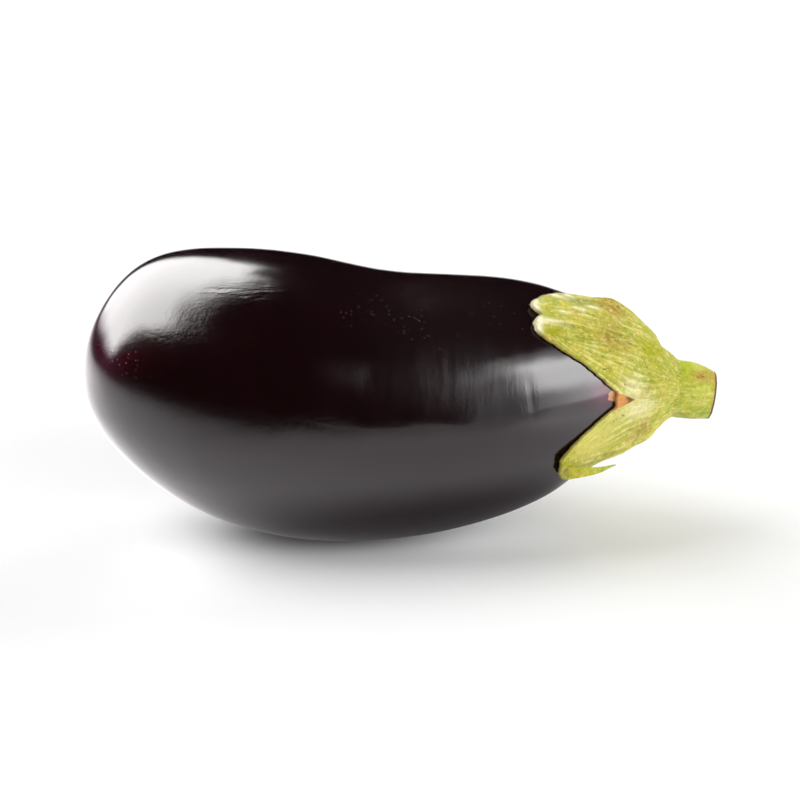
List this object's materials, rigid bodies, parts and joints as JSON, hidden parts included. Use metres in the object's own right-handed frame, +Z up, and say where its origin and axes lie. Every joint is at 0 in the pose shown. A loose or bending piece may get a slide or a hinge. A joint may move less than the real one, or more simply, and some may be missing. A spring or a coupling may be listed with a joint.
{
  "type": "eggplant",
  "caption": "Whole purple eggplant lying on its side, with a bent pear-shaped fruit, a lobed green calyx and a cut stem stub.",
  "frame": {"origin": "middle of the flat spot that the fruit rests on", "axes": "+Z up, +X from the blossom end to the stem, -Y towards the side with the curled sepal tip"},
  "size_m": [0.2098, 0.0936, 0.0972],
  "materials": {
    "skin": "gloss",
    "sepal": "matte",
    "stem": "matte"
  },
  "bodies": {
    "root": {"fruit": "skin", "calyx": "sepal", "stem": "stem"}
  },
  "joints": []
}
